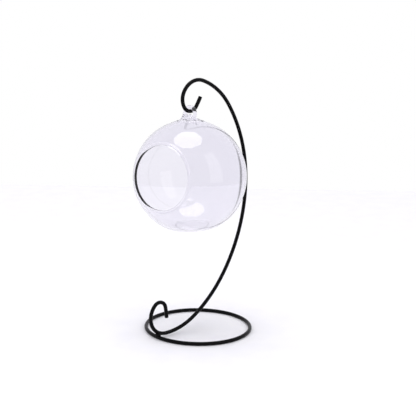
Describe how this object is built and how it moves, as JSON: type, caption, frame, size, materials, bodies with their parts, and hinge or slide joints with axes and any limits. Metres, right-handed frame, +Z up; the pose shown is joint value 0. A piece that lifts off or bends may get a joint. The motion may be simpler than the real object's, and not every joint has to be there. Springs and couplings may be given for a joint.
{
  "type": "hanging glass globe terrarium",
  "caption": "Clear blown glass globe with a round side mouth, hung by its fused loop from the hook of a curved round-rod stand that rises from a flat ring base.",
  "frame": {"origin": "middle of the base ring, on the surface that the stand rests on", "axes": "+Z up along the stand; the stand's bent rod lies in the XZ plane, with its foot on the ring at -X and its bow at +X; the globe's mouth faces -X, turned 13 degrees towards -Y and 5 degrees up"},
  "size_m": [0.1174, 0.1, 0.228],
  "materials": {
    "base_ring": "semi-gloss black powder coat on round steel rod",
    "stem": "semi-gloss black powder coat on round steel rod",
    "foot_weld": "weld bead under the same black powder coat",
    "glass_globe": "clear blown glass with a faint cool tint and a fire-polished lip"
  },
  "bodies": {
    "stand": {"base_ring": "base_ring", "stem": "stem", "foot_weld": "foot_weld"},
    "globe": {"glass_globe": "glass_globe"}
  },
  "joints": [
    {"name": "globe_swing", "type": "hinge", "parent": "stand", "child": "globe", "pos_m": [-0.01277, 0, 0.19967], "axis": [1, 0, 0], "range_deg": [-45, 45]}
  ]
}
